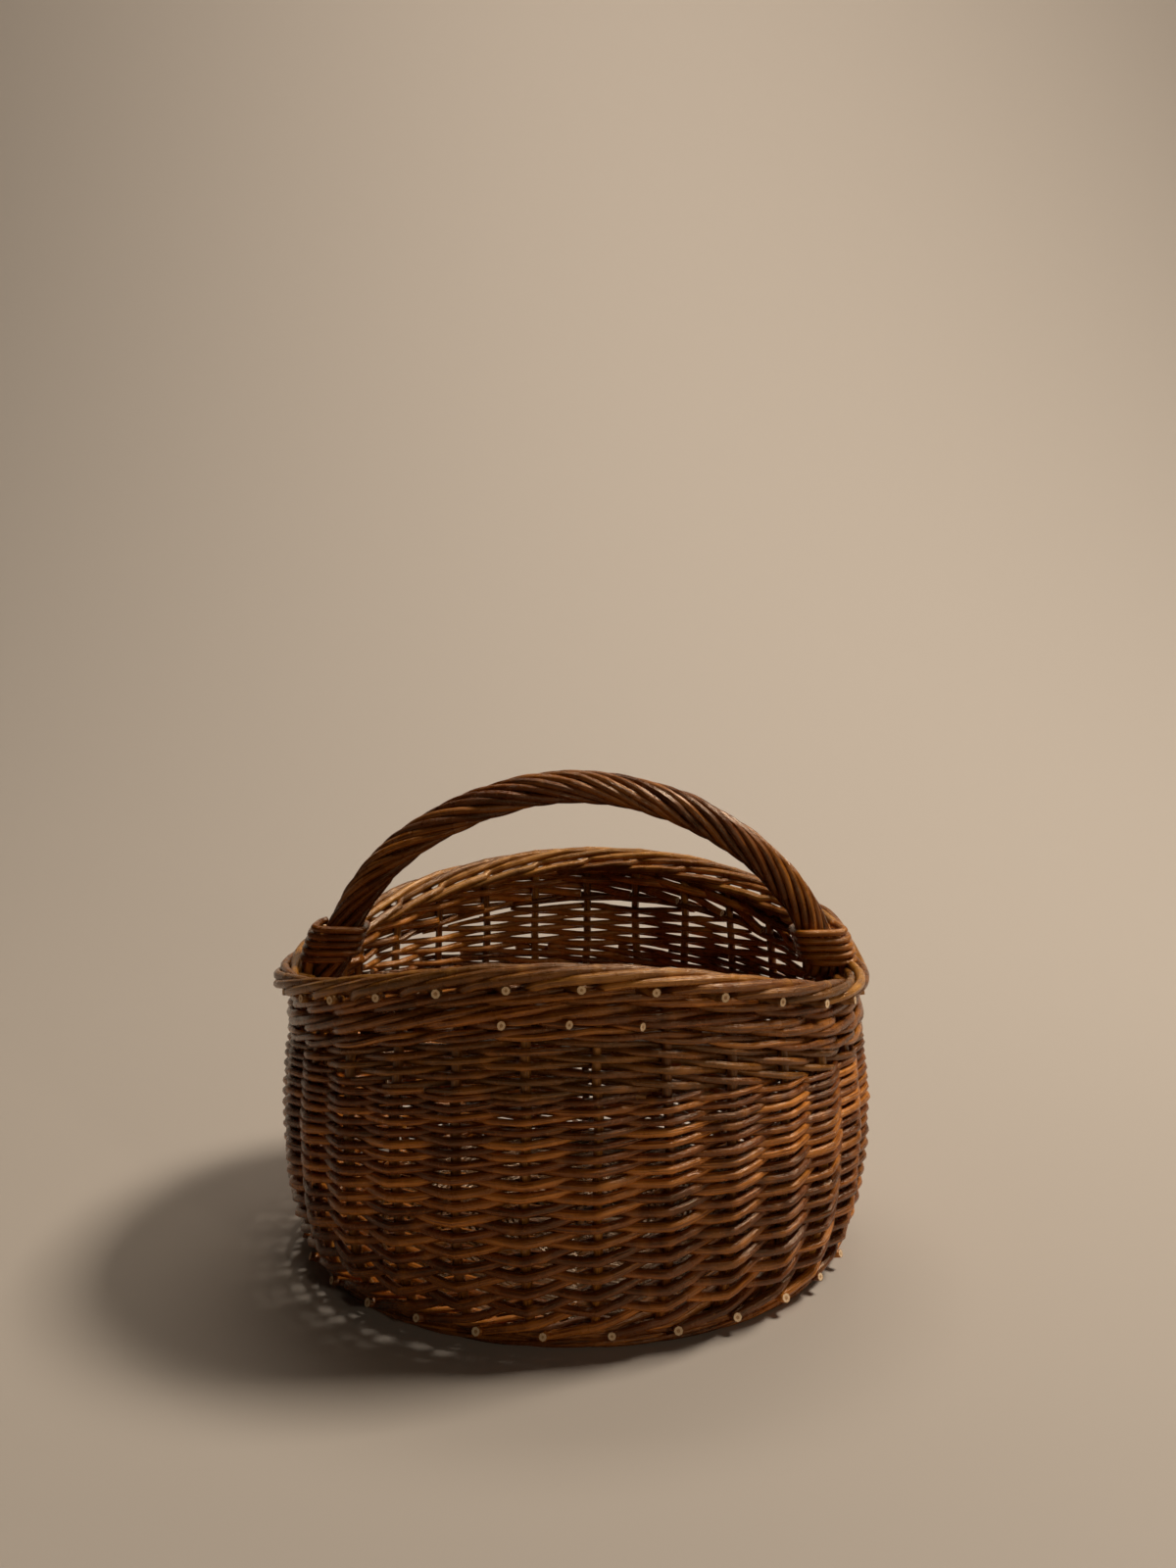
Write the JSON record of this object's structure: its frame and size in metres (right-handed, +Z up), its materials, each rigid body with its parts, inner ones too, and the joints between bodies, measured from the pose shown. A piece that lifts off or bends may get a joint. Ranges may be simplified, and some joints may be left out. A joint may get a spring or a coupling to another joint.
{
  "type": "willow basket planter",
  "caption": "Round woven willow basket with a saddle rim and one fixed roped bow handle across its width, open at the top, for pots, plants or carrying.",
  "frame": {"origin": "middle of the footprint, on the surface that the foot ring stands on", "axes": "+Z up; +X along the width, from one foot of the handle to the other; +Y towards the back, so the front faces -Y"},
  "size_m": [0.4033, 0.3596, 0.329],
  "materials": {
    "willow_stake": "satin",
    "willow_weaver": "satin",
    "willow_wale": "satin",
    "willow_base": "satin",
    "willow_handle": "satin"
  },
  "bodies": {
    "root": {"stake_01": "willow_stake", "stake_02": "willow_stake", "stake_03": "willow_stake", "stake_04": "willow_stake", "stake_05": "willow_stake", "stake_06": "willow_stake", "stake_07": "willow_stake", "stake_08": "willow_stake", "stake_09": "willow_stake", "stake_10": "willow_stake", "stake_11": "willow_stake", "stake_12": "willow_stake", "stake_13": "willow_stake", "stake_14": "willow_stake", "stake_15": "willow_stake", "stake_16": "willow_stake", "stake_17": "willow_stake", "stake_18": "willow_stake", "stake_19": "willow_stake", "stake_20": "willow_stake", "stake_21": "willow_stake", "stake_22": "willow_stake", "stake_23": "willow_stake", "stake_24": "willow_stake", "stake_25": "willow_stake", "stake_26": "willow_stake", "stake_27": "willow_stake", "stake_28": "willow_stake", "stake_29": "willow_stake", "upsett_wale": "willow_wale", "top_wale": "willow_wale", "foot_ring": "willow_wale", "lower_siding": "willow_weaver", "middle_siding": "willow_weaver", "upper_siding": "willow_weaver", "base_stick_1": "willow_base", "base_stick_2": "willow_base", "base_stick_3": "willow_base", "base_stick_4": "willow_base", "base_stick_5": "willow_base", "base_stick_6": "willow_base", "base_stick_7": "willow_base", "base_stick_8": "willow_base", "base_weaver_1": "willow_base", "base_weaver_2": "willow_base", "handle_bow": "willow_handle", "handle_rod_1": "willow_handle", "handle_rod_2": "willow_handle", "handle_rod_3": "willow_handle", "handle_rod_4": "willow_handle", "handle_rod_5": "willow_handle", "handle_rod_6": "willow_handle", "left_collar": "willow_handle", "right_collar": "willow_handle"}
  },
  "joints": []
}
